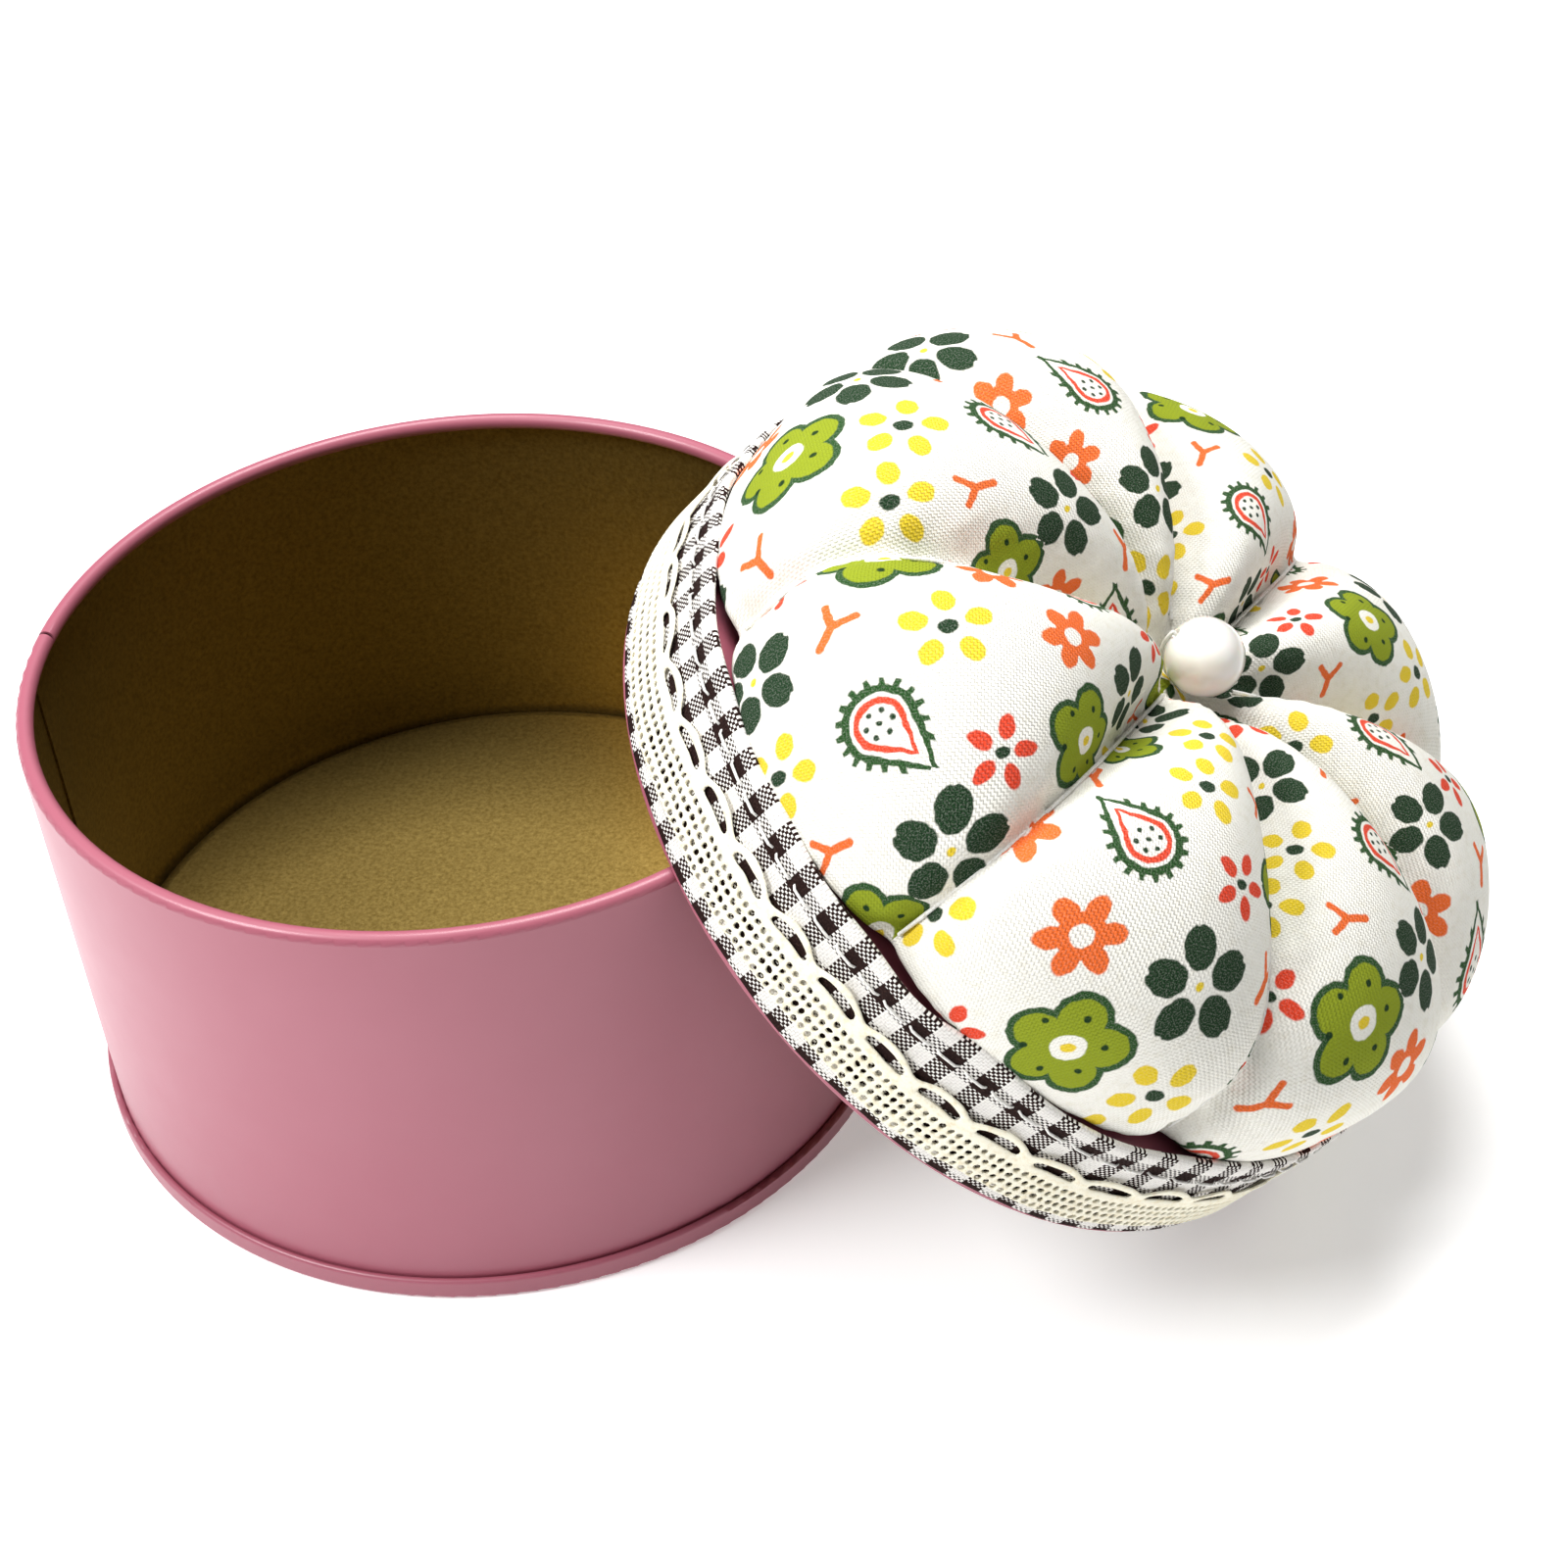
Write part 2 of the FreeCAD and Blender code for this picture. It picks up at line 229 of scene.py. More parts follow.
def thickened(piece, thickness, offset):
    finish = piece.modifiers.new("thickness", "SOLIDIFY")
    finish.thickness = thickness
    finish.offset = offset


def tidy_normals(mesh):
    bmesh.ops.remove_doubles(mesh, verts=mesh.verts, dist=0.01 * MM)
    bmesh.ops.recalc_face_normals(mesh, faces=mesh.faces)


def profile(mesh, points):
    """A chain of edges through points given as (radius, height)."""
    verts = [mesh.verts.new((radius, 0, height)) for radius, height in points]
    edges = [mesh.edges.new(pair) for pair in zip(verts, verts[1:])]
    return verts + edges


def spun(points, steps):
    """A surface of revolution about Z."""
    mesh = bmesh.new()
    bmesh.ops.spin(mesh, geom=profile(mesh, points), axis=Z_AXIS, cent=(0, 0, 0), dvec=(0, 0, 0),
                   angle=FULL_TURN, steps=steps, use_merge=True)
    tidy_normals(mesh)
    return mesh


def on_ring(angle, radius, height):
    return Vector((radius * math.cos(angle), radius * math.sin(angle), height))


def wave(angle, turns, shift=0.0):
    return math.sin(angle * turns + shift)


def smooth_step(low, high, value):
    t = min(1.0, max(0.0, (value - low) / (high - low)))
    return t * t * (3 - 2 * t)


# ---------------------------------------------------------------- material shorthand
class Wire:
    """A socket in a material. Operators on it add Math nodes, and node() adds any other kind."""

    def __init__(self, socket):
        self.socket = socket

    def node(self, kind, sockets, out=0, **settings):
        """A new node: first its settings, then its sockets' values or links."""
        tree = self.socket.id_data
        made = tree.nodes.new("ShaderNode" + kind)
        for name, value in settings.items():
            setattr(made, name, value)
        for name, value in sockets.items():
            if isinstance(value, Wire):
                tree.links.new(value.socket, made.inputs[name])
            else:
                made.inputs[name].default_value = value
        return Wire(made.outputs[out])

    def math(self, operation, *others):
        return self.node("Math", dict(enumerate((self,) + others)), operation=operation)

    def __add__(self, other):
        return self.math("ADD", other)

    __radd__ = __add__

    def __mul__(self, other):
        return self.math("MULTIPLY", other)

    __rmul__ = __mul__

    def __sub__(self, other):
        return self.math("SUBTRACT", other)

    def __rsub__(self, other):
        return (self * -1) + other

    def __truediv__(self, other):
        return self.math("DIVIDE", other)

    def __rtruediv__(self, other):
        return (self ** -1.0) * other

    def __mod__(self, other):
        return self.math("FLOORED_MODULO", other)

    def __pow__(self, other):
        return self.math("POWER", other)

    def __abs__(self):
        return self.math("ABSOLUTE")

    def __lt__(self, other):
        return self.math("LESS_THAN", other)

    def __gt__(self, other):
        return self.math("GREATER_THAN", other)

    def sin(self):
        return self.math("SINE")

    def cos(self):
        return self.math("COSINE")

    def root(self):
        return self.math("SQRT")

    def least(self, other):
        return self.math("MINIMUM", other)

    def most(self, other):
        return self.math("MAXIMUM", other)

    def between(self, low, high):
        """0 below low, 1 above high, and smooth between them. low may be the larger one."""
        return self.node("MapRange", {"Value": self, "From Min": low, "From Max": high},
                         interpolation_type="SMOOTHSTEP")

    def parts(self):
        """The three numbers of a vector."""
        return [self.node("SeparateXYZ", {"Vector": self}, out=place) for place in range(3)]

    def noise(self, scale, detail=2.0, roughness=0.5):
        """A soft random value from 0 to 1 at this place."""
        return self.node("TexNoise",
                         {"Vector": self, "Scale": scale, "Detail": detail, "Roughness": roughness})

    def wandering(self, scale, reach):
        """This place, moved about by up to reach."""
        drift = self.node("TexNoise", {"Vector": self, "Scale": scale, "Detail": 1.0}, out=1)
        centred = drift.node("VectorMath", {0: drift, 1: (0.5, 0.5, 0.5)}, operation="SUBTRACT")
        moved = centred.node("VectorMath", {0: centred, "Scale": 2 * reach}, operation="SCALE")
        return moved.node("VectorMath", {0: self, 1: moved}, operation="ADD")

    def mix(self, other, amount):
        """From this colour to another by amount."""
        return self.node("Mix", {0: amount, 6: self, 7: other}, out=2, data_type="RGBA")

    def bump(self, distance, strength=1.0):
        return self.node("Bump", {"Height": self, "Distance": distance, "Strength": strength})


def colour(red, green, blue):
    """A paint mixed by its display values from 0 to 255."""
    channels = []
    for value in (red, green, blue):
        share = value / 255
        channels.append(share / 12.92 if share <= 0.04045 else ((share + 0.055) / 1.055) ** 2.4)
    return (*channels, 1.0)


def new_material(name, **constants):
    """A material and the wire of its object coordinates. constants are the shader's fixed sockets."""
    material = bpy.data.materials.new(name)
    material.use_nodes = True
    shader = material.node_tree.nodes["Principled BSDF"]
    for socket, value in constants.items():
        shader.inputs[socket.replace("_", " ")].default_value = value
    place = material.node_tree.nodes.new("ShaderNodeTexCoord")
    return material, Wire(place.outputs["Object"])


def coat(material, **sockets):
    """Links wires to the material's shader."""
    shader = material.node_tree.nodes["Principled BSDF"]
    for socket, wire in sockets.items():
        material.node_tree.links.new(wire.socket, shader.inputs[socket.replace("_", " ")])
    return material


def dress(piece, material):
    piece.data.materials.clear()
    piece.data.materials.append(material)


def upright(place):
    """Row coordinates turned into the lid's own, where the lid stands upright."""
    back = LID.inverted()
    return place.node("Mapping", {"Vector": place, "Location": back.to_translation(),
                                  "Rotation": back.to_euler()}, vector_type="POINT")


def plain_colour(place, value):
    """A colour as a wire, for mixing."""
    return place.node("Mix", {0: 0.0, 6: value, 7: value}, out=2, data_type="RGBA")


# ---------------------------------------------------------------- materials
def white_sheet():
    material, place = new_material("white_sheet", Roughness=0.6, Emission_Color=(1, 1, 1, 1),
                                   Emission_Strength=0.34)
    paper = plain_colour(place, (0.93, 0.93, 0.93, 1)).mix((0.9, 0.9, 0.9, 1), place.noise(12))
    return coat(material, Base_Color=paper)


PINK = colour(168, 91, 108)
PINK_WORN = colour(182, 112, 128)
GOLD = colour(162, 139, 78)
GOLD_DEEP = colour(120, 98, 46)


def painted_tinplate(name, place_of, gold_where):
    """Satin pink paint outside and gold lacquer inside. gold_where gives 1 where the lacquer is."""
    material, row_place = new_material(name, Coat_Roughness=0.18, IOR=1.5)
    place = place_of(row_place)
    gold = gold_where(place)
    cloud = place.noise(45, 3)
    grain = place.noise(2600, 2, 0.7)
    speck = place.noise(1900, 3, 0.65)
    pink = plain_colour(place, PINK).mix(PINK_WORN, (cloud.between(0.35, 0.75)) * 0.16)
    lacquer = plain_colour(place, GOLD_DEEP).mix(GOLD, speck.between(0.15, 0.85))
    lacquer = lacquer.mix(colour(206, 184, 118), grain.between(0.60, 0.80) * 0.22)
    orange_peel = place.noise(700, 2)
    height = orange_peel * (1 - gold) * 0.10 + (grain + speck) * gold * 0.35
    rough_paint = 0.40 + place.noise(260, 3) * 0.07
    rough_lacquer = 0.40 + grain * 0.12
    return coat(material,
                Base_Color=pink.mix(lacquer, gold),
                Metallic=gold * 0.92,
                Roughness=rough_paint + (rough_lacquer - rough_paint) * gold,
                Coat_Weight=0.2 * (1 - gold),
                Normal=height.bump(0.05 * MM, 0.6))


def radius_of(x, y):
    return (x * x + y * y).root()


def wall_gold(place):
    """The inside of the tin's wall, below the rim's curl."""
    x, y, z = place.parts()
    inside = radius_of(x, y) < TIN_RADIUS - SHEET / 2
    return inside * (z < TIN_HEIGHT - 2 * RIM_TUBE)


def floor_gold(place):
    """The upper side of the tin's floor."""
    normal_z = place.node("NewGeometry", {}, out=1).parts()[2]
    z = place.parts()[2]
    return (normal_z > 0.02) * (z > FLOOR_HEIGHT / 2)


def lid_gold(place):
    """The inside of the lid."""
    x, y, z = place.parts()
    return (radius_of(x, y) < SKIRT_INSIDE + SHEET / 2) * (z < LID_HEIGHT - SHEET / 2)


def woven_check():
    """Brown and white gingham, woven thread by thread: seven threads to each square, both ways, with painted
    shade in the gaps between threads.
    """
    material, row_place = new_material("brown_gingham", Roughness=0.95, Specular_IOR_Level=0.15)
    place = upright(row_place).wandering(260, 0.16 * MM)
    x, y, z = place.parts()
    threads = 7
    along = y.math("ARCTAN2", x) * (CHECKS * threads / FULL_TURN)
    up = z / (CHECK / threads)
    warp_brown = (along / (2 * threads)) % 1.0 < 0.5
    weft_brown = ((up + 2.5) / (2 * threads)) % 1.0 < 0.5
    warp_on_top = ((along.math("FLOOR") + up.math("FLOOR")) / 2) % 1.0 < 0.25
    across_thread = abs((along * math.pi).sin())
    across_weft = abs((up * math.pi).sin())
    weft_shows = (1 - warp_on_top) * (across_weft > 0.40)
    brown = weft_shows * weft_brown + (1 - weft_shows) * warp_brown
    crown = (warp_on_top * across_thread + (1 - warp_on_top) * across_weft).root()
    fibre = place.noise(5200, 2)
    slub = place.noise(420, 3)
    dark = plain_colour(place, colour(38, 22, 20)).mix(colour(70, 48, 42), fibre.between(0.5, 0.85))
    light = plain_colour(place, colour(246, 243, 238)).mix(colour(206, 200, 192), fibre.between(0.5, 0.9))
    cloth = light.mix(dark, brown)
    # Painted shade: the cloth is darkened towards near black in the gaps between threads, where the threads'
    # crowns fall away.
    cloth = cloth.mix(colour(22, 12, 12), (1 - crown).between(0.45, 1.0) * 0.55)
    return coat(material, Base_Color=cloth, Normal=(crown + slub * 0.4 + fibre * 0.2).bump(0.09 * MM, 0.8))


def cream_cotton(name, base, shade, coarse):
    """Soft cotton thread in cream or white, with its fibres and a little twist."""
    material, place = new_material(name, Roughness=0.95, Specular_IOR_Level=0.2)
    strands = place.noise(coarse, 3, 0.6)
    fuzz = place.noise(coarse * 4, 2)
    yarn = plain_colour(place, base).mix(shade, strands.between(0.42, 0.78))
    return coat(material, Base_Color=yarn, Normal=(strands + fuzz * 0.5).bump(0.12 * MM, 0.7))


def pearl():
    """Imitation pearl: ivory under a clear glossy coat, with a faint warm play at random, and a cool grey
    painted shade towards its outline, where it turns from the view.
    """
    material, place = new_material("pearl", Roughness=0.16, Coat_Weight=0.9, Coat_Roughness=0.05, IOR=1.55,
                                   Subsurface_Weight=0.25, Subsurface_Scale=1.2 * MM)
    play = place.noise(170, 2)
    outline_shade = play.node("LayerWeight", {"Blend": 0.35}, out=1)
    skin = plain_colour(place, colour(250, 248, 242)).mix(colour(234, 224, 204), play.between(0.4, 0.7) * 0.4)
    # Painted shade: the skin greys towards the outline, where its surface turns away from the view.
    skin = skin.mix(colour(214, 208, 202), outline_shade * 0.4)
    return coat(material, Base_Color=skin)


def hot_glue():
    material, place = new_material("hot_glue", Roughness=0.35, Subsurface_Weight=0.3,
                                   Subsurface_Scale=1.5 * MM)
    cloud = place.noise(300, 3)
    body = plain_colour(place, colour(206, 188, 150)).mix(colour(226, 214, 186), cloud)
    return coat(material, Base_Color=body, Normal=cloud.bump(0.2 * MM, 0.5))


# ---- printed cotton ----
GREEN_FILL = colour(146, 160, 38)
GREEN_LINE = colour(38, 78, 34)
FOREST = colour(26, 56, 30)
YELLOW = colour(238, 208, 46)
ORANGE = colour(240, 108, 42)
RED = colour(232, 70, 40)
CLOTH_WHITE = colour(251, 249, 240)
CLOTH_SHADE = colour(232, 226, 206)
SOFT_EDGE = 0.10                # blur of a printed edge, mm


def inked(distance):
    """1 where the distance, in mm, is below zero, with a printed edge."""
    return distance.between(SOFT_EDGE, -SOFT_EDGE)


def folded(x, y, count):
    """A point turned into the first of count equal sectors, so that one petal makes them all."""
    sector = FULL_TURN / count
    angle = (y.math("ARCTAN2", x) + sector / 2) % sector - sector / 2
    radius = radius_of(x, y)
    return radius * angle.cos(), radius * angle.sin()


def oval(x, y, centre, half_length, half_width):
    """Distance outside an oval that lies along x."""
    reach = radius_of((x - centre) / half_length, y / half_width)
    return (reach - 1) * min(half_length, half_width)


def stroke(x, y, start, end, half_width):
    """Distance outside a brush stroke from start to end."""
    run_x = end[0] - start[0]
    run_y = end[1] - start[1]
    square = run_x * run_x + run_y * run_y
    share = ((x - start[0]) * run_x + (y - start[1]) * run_y) / square
    share = share.most(0.0).least(1.0)
    return radius_of(x - start[0] - share * run_x, y - start[1] - share * run_y) - half_width


def green_flower(x, y):
    petal_x, petal_y = folded(x, y, 5)
    shape = oval(petal_x, petal_y, 3.3, 2.5, 2.35).least(radius_of(x, y) - 3.4)
    dot_x, dot_y = folded(x + 0.3, y - 0.2, 6)
    dots = radius_of(dot_x - 3.7, dot_y) - 0.36
    centre = oval(x, y, 0.1, 1.75, 1.6)
    return [(inked(shape - 0.55), GREEN_LINE), (inked(shape + 0.15), GREEN_FILL), (inked(dots), FOREST),
            (inked(centre), CLOTH_WHITE), (inked(oval(x, y, 0.1, 0.75, 0.6)), YELLOW)]


def forest_flower(x, y):
    petal_x, petal_y = folded(x, y, 5)
    notch = radius_of(petal_x - 5.75, petal_y) - 0.42
    petals = oval(petal_x, petal_y, 3.45, 2.1, 1.72).most(notch * -1)
    return [(inked(petals), FOREST), (inked(radius_of(x, y) - 1.4), CLOTH_WHITE),
            (inked(radius_of(x, y) - 0.42), YELLOW)]


def yellow_flower(x, y):
    petal_x, petal_y = folded(x, y, 5)
    return [(inked(oval(petal_x, petal_y, 3.15, 1.35, 1.1)), YELLOW),
            (inked(oval(x, y, 0, 1.0, 0.8)), FOREST)]


def orange_flower(x, y):
    petal_x, petal_y = folded(x, y, 6)
    shape = oval(petal_x, petal_y, 2.5, 1.5, 1.05).least(radius_of(x, y) - 2.2)
    return [(inked(shape), ORANGE), (inked(radius_of(x, y) - 1.05), CLOTH_WHITE)]


def red_flower(x, y):
    petal_x, petal_y = folded(x, y, 5)
    return [(inked(oval(petal_x, petal_y, 2.35, 1.25, 0.8)), RED), (inked(oval(x, y, 0, 0.75, 0.55)), FOREST)]


def paisley(x, y):
    """A drop with its tip along -x: spiked green outline, red inner line and seeds."""
    angle = y.math("ARCTAN2", x)
    radius = radius_of(x, y)
    round_radius = 3.2
    straight_from = 1.07
    lean = (abs(angle) - (math.pi - straight_from)).most(0.0)
    outer = round_radius / lean.cos()
    spike_angle = ((angle * (17 / FULL_TURN)) % 1.0 - 0.5) * (FULL_TURN / 17)
    beyond = radius - outer
    spikes = (abs(spike_angle) * radius - 0.44 + beyond * 0.2).most(beyond - 1.0).most(beyond * -1)
    line = abs(beyond) - 0.38
    inner = abs(radius - outer * 0.66) - 0.32
    seed_x, seed_y = folded(x, y, 6)
    seeds = (radius_of(seed_x - 1.25, seed_y) - 0.28).least(radius - 0.28)
    return [(inked(line.least(spikes)), GREEN_LINE), (inked(inner), RED), (inked(seeds), FOREST)]


def sprig(x, y):
    branch = abs(y)
    shape = stroke(x, y, (-2.2, 0), (0.3, 0), 0.44).least(stroke(x, branch, (0.1, 0.1), (1.7, 1.5), 0.40))
    return [(inked(shape), ORANGE)]


MOTIFS = (green_flower, forest_flower, yellow_flower, orange_flower, red_flower, paisley, sprig)
MOTIF_RADIUS = {"green_flower": 6.2, "forest_flower": 5.6, "yellow_flower": 4.5, "orange_flower": 4.0,
                "red_flower": 3.6, "paisley": 5.2, "sprig": 2.4}


def printed_cotton():
    """Cream cotton in plain weave with the scattered flowers, drops and sprigs of its print, and painted
    shade in the gaps between threads.
    """
    material, object_place = new_material("printed_cotton", Roughness=0.95, Specular_IOR_Level=0.15)
    cloth = object_place.node("UVMap", {}, uv_map="cloth")
    motif = object_place.node("UVMap", {}, uv_map="motif").wandering(0.9, 0.22)
    kind = object_place.node("Attribute", {}, out=2, attribute_name="kind")
    x, y, _ = motif.parts()
    warp, weft, _ = cloth.parts()
    pitch = 0.31
    row = warp / pitch
    column = weft / pitch
    over = ((row.math("FLOOR") + column.math("FLOOR")) / 2) % 1.0 < 0.25
    across_warp = abs((row * math.pi).sin())
    across_weft = abs((column * math.pi).sin())
    crown = (over * across_warp + (1 - over) * across_weft).root()
    slub = cloth.node("TexNoise", {"Vector": cloth, "Scale": 0.9, "Detail": 4.0})
    fibre = cloth.node("TexNoise", {"Vector": cloth, "Scale": 6.0, "Detail": 3.0})
    fabric = plain_colour(object_place, CLOTH_WHITE).mix(CLOTH_SHADE, slub.between(0.45, 0.75) * 0.35)
    # Painted shade: the cloth is darkened in the gaps between threads, where the threads' crowns fall away.
    fabric = fabric.mix(colour(168, 156, 130), (1 - crown).between(0.60, 1.0) * 0.6)
    patchy = 0.90 + fibre.between(0.35, 0.55) * 0.10
    for number, draw in enumerate(MOTIFS):
        here = abs(kind - number) < 0.5
        for ink, paint in draw(x, y):
            fabric = fabric.mix(paint, ink * here * patchy)
    return coat(material, Base_Color=fabric,
                Normal=(crown * 0.8 + slub * 0.5 + fibre * 0.2).bump(0.14 * MM, 0.7))


# ---------------------------------------------------------------- tin and lid in metal
def metal_parts():
    """The tin's and lid's tinplate nodes keep their shapes and get their finish."""
    def as_is(place):
        return place
    dress(frame["nodes"]["tin_wall"], painted_tinplate("tin_wall_paint", as_is, wall_gold))
    dress(frame["nodes"]["tin_bottom"], painted_tinplate("tin_bottom_paint", as_is, floor_gold))
    dress(frame["nodes"]["lid_shell"], painted_tinplate("lid_paint", upright, lid_gold))
    glue = hot_glue()
    for node in ("band_glue", "cushion_glue"):
        dress(frame["nodes"][node], glue)


# ---------------------------------------------------------------- trim round the lid
def band_stand(angle, height):
    """How far the band's loose upper part stands off the skirt."""
    free = smooth_step(BAND_LOOSE_FROM, BAND_TOP, height)
    sway = 0.55 + 0.30 * wave(angle, 9, 1.0) + 0.28 * wave(angle, 14, 2.0) + 0.15 * wave(angle, 23)
    return free * sway * BAND_STAND


def gingham_band():
    """A strip of gingham round the skirt. It hugs the skirt below, stands a little free and wavy above, and
    its top edge is folded in."""
    rows = 14
    points = [(BAND_INSIDE, BAND_BOTTOM + (BAND_TOP - BAND_BOTTOM) * row / rows) for row in range(rows + 1)]
    points.append((BAND_INSIDE - FOLD_GAP, BAND_TOP + 0.1 * MM))
    points.append((BAND_INSIDE - 2 * FOLD_GAP, BAND_TOP - 0.3 * MM))
    points.append((BAND_INSIDE - 2 * FOLD_GAP, BAND_TOP - BAND_FOLD))
    mesh = spun(points, 2 * CHECKS)
    for vert in mesh.verts:
        angle = math.atan2(vert.co.y, vert.co.x)
        free = smooth_step(BAND_LOOSE_FROM, BAND_TOP, vert.co.z)
        reach = math.hypot(vert.co.x, vert.co.y) + band_stand(angle, vert.co.z)
        rise = free * BAND_RIPPLE * (wave(angle, 11, 0.5) + wave(angle, 19, 1.5))
        rise += (1 - smooth_step(0, 3 * MM, vert.co.z)) * HEM_RIPPLE * wave(angle, 17)
        vert.co = on_ring(angle, reach, vert.co.z + rise)
    band = new_object("gingham_strip", mesh, LID)
    thickened(band, CLOTH * 0.8, 1)
    rounded(band, 1)
    dress(band, woven_check())
    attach(band, "lid")
    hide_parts("gingham_band")
    return band


def lace_repeat():
    """One scallop's width of lace, flat: four rows of small holes, a close band, and a long hole under the
    scallop's cord."""
    mesh = bmesh.new()
    bmesh.ops.create_grid(mesh, x_segments=LACE_COLUMNS, y_segments=LACE_ROWS, size=0.5)
    holes = []
    for face in mesh.faces:
        centre = face.calc_center_median()
        row = int((centre.y + 0.5) * LACE_ROWS)
        column = int((centre.x + 0.5) * LACE_COLUMNS)
        if row < NET_ROWS:
            holes.append(face)
        elif row == NET_ROWS + 1 and 0 < column < LACE_COLUMNS - 1:
            holes.append(face)
    long_hole = [f for f in holes if f.calc_center_median().y > 0.2]
    net = [f for f in holes if f not in long_hole]
    bmesh.ops.inset_individual(mesh, faces=net, thickness=NET_CORD)
    bmesh.ops.delete(mesh, geom=net + long_hole, context="FACES")
    return mesh


def lace_trim():
    """Cotton lace over the gingham, its repeat turned round the lid, with a scalloped upper edge."""
    mesh = lace_repeat()
    step = FULL_TURN / SCALLOPS
    net_top = LACE_BOTTOM + (LACE_VALLEY - LACE_BOTTOM) * NET_TOP
    net_share = NET_ROWS / LACE_ROWS
    for vert in mesh.verts:
        across = vert.co.x
        share = vert.co.y + 0.5
        crest = LACE_VALLEY
        if abs(across) < 0.499:
            crest += SCALLOP_RISE * math.cos(across * math.pi) ** 0.8
        if share <= net_share:
            height = LACE_BOTTOM + (net_top - LACE_BOTTOM) * share / net_share
        else:
            height = net_top + (crest - net_top) * (share - net_share) / (1 - net_share)
        vert.co = on_ring(across * step, LACE_INSIDE, height)
    bmesh.ops.spin(mesh, geom=mesh.verts[:] + mesh.edges[:] + mesh.faces[:], axis=Z_AXIS, cent=(0, 0, 0),
                   dvec=(0, 0, 0), angle=FULL_TURN * (SCALLOPS - 1) / SCALLOPS, steps=SCALLOPS - 1,
                   use_duplicate=True)
    tidy_normals(mesh)
    for vert in mesh.verts:
        angle = math.atan2(vert.co.y, vert.co.x)
        wander = noise.noise_vector(vert.co * 900) * LACE_WANDER
        drift = 0.35 * MM * (wave(angle, 5) + 0.6 * wave(angle, 13, 2.0))
        lift = smooth_step(LACE_VALLEY - 2 * MM, LACE_VALLEY + SCALLOP_RISE, vert.co.z) * 0.35 * MM
        lift *= 0.6 + 0.4 * wave(angle, 31)
        vert.co = on_ring(angle + wander.x / LACE_INSIDE, LACE_INSIDE + lift, vert.co.z + wander.z + drift)
    lace = new_object("lace", mesh, LID)
    thickened(lace, LACE, 1)
    rounded(lace, 1)
    dress(lace, cream_cotton("cream_lace", colour(252, 248, 228), colour(238, 226, 194), 1500))
    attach(lace, "lid")
    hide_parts("lace_trim")
    return lace


def band_stitches():
    """Running stitches near the band's top. Each bows out of the cloth and dives back in at its ends."""
    mesh = bmesh.new()
    bmesh.ops.create_circle(mesh, segments=6, radius=STITCH_RADIUS)
    bmesh.ops.rotate(mesh, verts=mesh.verts, cent=(0, 0, 0), matrix=Matrix.Rotation(math.pi / 2, 3, "X"))
    bmesh.ops.translate(mesh, verts=mesh.verts, vec=(0, -STITCH_LENGTH / 2, 0))
    ring = mesh.edges[:]
    sections = 6
    for _ in range(sections):
        grown = bmesh.ops.extrude_edge_only(mesh, edges=ring)["geom"]
        verts = [g for g in grown if isinstance(g, bmesh.types.BMVert)]
        bmesh.ops.translate(mesh, verts=verts, vec=(0, STITCH_LENGTH / sections, 0))
        ring = [g for g in grown if isinstance(g, bmesh.types.BMEdge)]
    bmesh.ops.holes_fill(mesh, edges=mesh.edges)
    tidy_normals(mesh)
    reach = BAND_INSIDE + CLOTH + STITCH_STAND
    for vert in mesh.verts:
        share = vert.co.y / (STITCH_LENGTH / 2)
        vert.co.x -= (share ** 8) * STITCH_DIVE
        vert.co.x += reach
        vert.co.z += STITCH_HEIGHT
    first = mesh.verts[:] + mesh.edges[:] + mesh.faces[:]
    bmesh.ops.spin(mesh, geom=first, axis=Z_AXIS, cent=(0, 0, 0), dvec=(0, 0, 0),
                   angle=FULL_TURN * (STITCHES - 1) / STITCHES, steps=STITCHES - 1, use_duplicate=True)
    for vert in mesh.verts:
        angle = math.atan2(vert.co.y, vert.co.x)
        reach_here = math.hypot(vert.co.x, vert.co.y) + band_stand(angle, STITCH_HEIGHT)
        vert.co = on_ring(angle, reach_here, vert.co.z + STITCH_WANDER * wave(angle, 7))
    stitches = new_object("running_stitches", mesh, LID)
    dress(stitches, cream_cotton("white_thread", colour(250, 249, 245), colour(222, 218, 208), 3200))
    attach(stitches, "lid")
    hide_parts("band_stitches")
    return stitches


# ---------------------------------------------------------------- cushion
def lobe_axes(lobe):
    """A lobe's centre and the directions outwards and round the lid."""
    angle = FULL_TURN * lobe / LOBES
    outwards = on_ring(angle, 1, 0)
    sideways = on_ring(angle + math.pi / 2, 1, 0)
    return outwards * LOBE_RING + Z_AXIS * LOBE_HEIGHT, outwards, sideways


